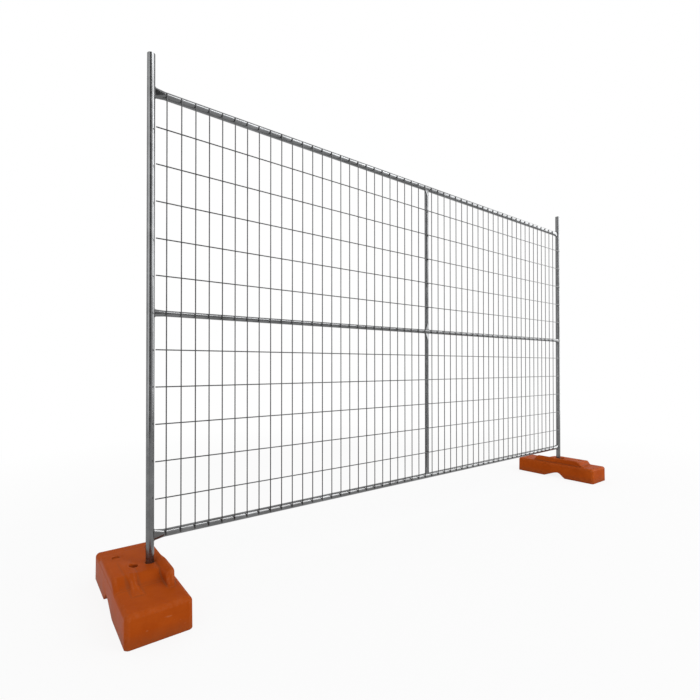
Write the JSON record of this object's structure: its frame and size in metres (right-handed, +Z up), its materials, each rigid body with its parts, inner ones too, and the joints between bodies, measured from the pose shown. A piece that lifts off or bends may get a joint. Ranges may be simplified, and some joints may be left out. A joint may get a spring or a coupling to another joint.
{
  "type": "temporary fence panel",
  "caption": "Free-standing galvanised tube fence panel with welded wire mesh, its posts standing in orange moulded ballast feet.",
  "frame": {"origin": "on the ground, midway between the two posts", "axes": "X along the panel, Y through it with the mesh on the -Y face, Z up"},
  "size_m": [3.605, 0.636, 2.195],
  "materials": {
    "galvanised_tube": "hot-dip galvanised, dull",
    "galvanised_wire": "hot-dip galvanised, dull",
    "orange_plastic": "satin moulded, scuffed",
    "concrete": "matt, opaque"
  },
  "bodies": {
    "panel": {"left_post": "galvanised_tube", "right_post": "galvanised_tube", "top_rail": "galvanised_tube", "mid_rail": "galvanised_tube", "bottom_rail": "galvanised_tube", "upper_stay": "galvanised_tube", "lower_stay": "galvanised_tube", "left_bay_upright_wires": "galvanised_wire", "right_bay_upright_wires": "galvanised_wire", "level_wire_01": "galvanised_wire", "level_wire_02": "galvanised_wire", "level_wire_03": "galvanised_wire", "level_wire_04": "galvanised_wire", "level_wire_05": "galvanised_wire", "level_wire_06": "galvanised_wire", "level_wire_07": "galvanised_wire", "level_wire_08": "galvanised_wire", "level_wire_09": "galvanised_wire", "level_wire_10": "galvanised_wire", "level_wire_11": "galvanised_wire"},
    "left_foot": {"left_foot_shell": "orange_plastic", "left_foot_filling": "concrete"},
    "right_foot": {"right_foot_shell": "orange_plastic", "right_foot_filling": "concrete"}
  },
  "joints": [
    {"name": "left_foot_swivel", "type": "hinge", "parent": "panel", "child": "left_foot", "pos_m": [-1.6475, 0, 0.093], "axis": [0, 0, 1], "continuous": true},
    {"name": "right_foot_swivel", "type": "hinge", "parent": "panel", "child": "right_foot", "pos_m": [1.6475, 0, 0.093], "axis": [0, 0, 1], "continuous": true}
  ]
}
